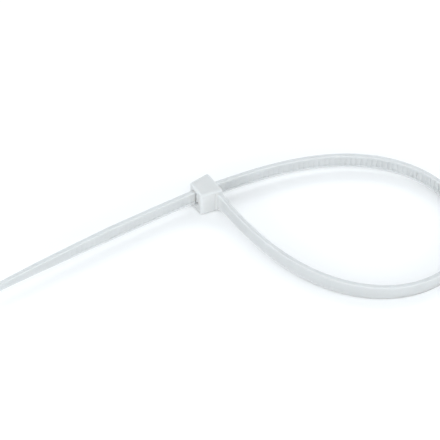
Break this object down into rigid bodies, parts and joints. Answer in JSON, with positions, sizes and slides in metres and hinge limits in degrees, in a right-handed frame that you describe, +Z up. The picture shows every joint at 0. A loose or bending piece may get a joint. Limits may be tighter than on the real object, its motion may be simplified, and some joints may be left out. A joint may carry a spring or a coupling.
{
  "type": "cable tie",
  "caption": "Self-locking nylon cable tie closed into a wide open loop: a square head with slot and pawl, a toothed strap pulled through it and a tapered tail.",
  "frame": {"origin": "middle of the bounding box, at bench level, with the tie lying on its edge", "axes": "+X to the right in the picture, from the tail's tip towards the far end of the loop; +Y away from the camera; +Z up, across the width of the strap"},
  "size_m": [0.1046, 0.0424, 0.0064],
  "materials": {
    "cable_tie": "satin natural nylon, slightly translucent"
  },
  "bodies": {
    "root": {"cable_tie": "cable_tie"}
  },
  "joints": []
}
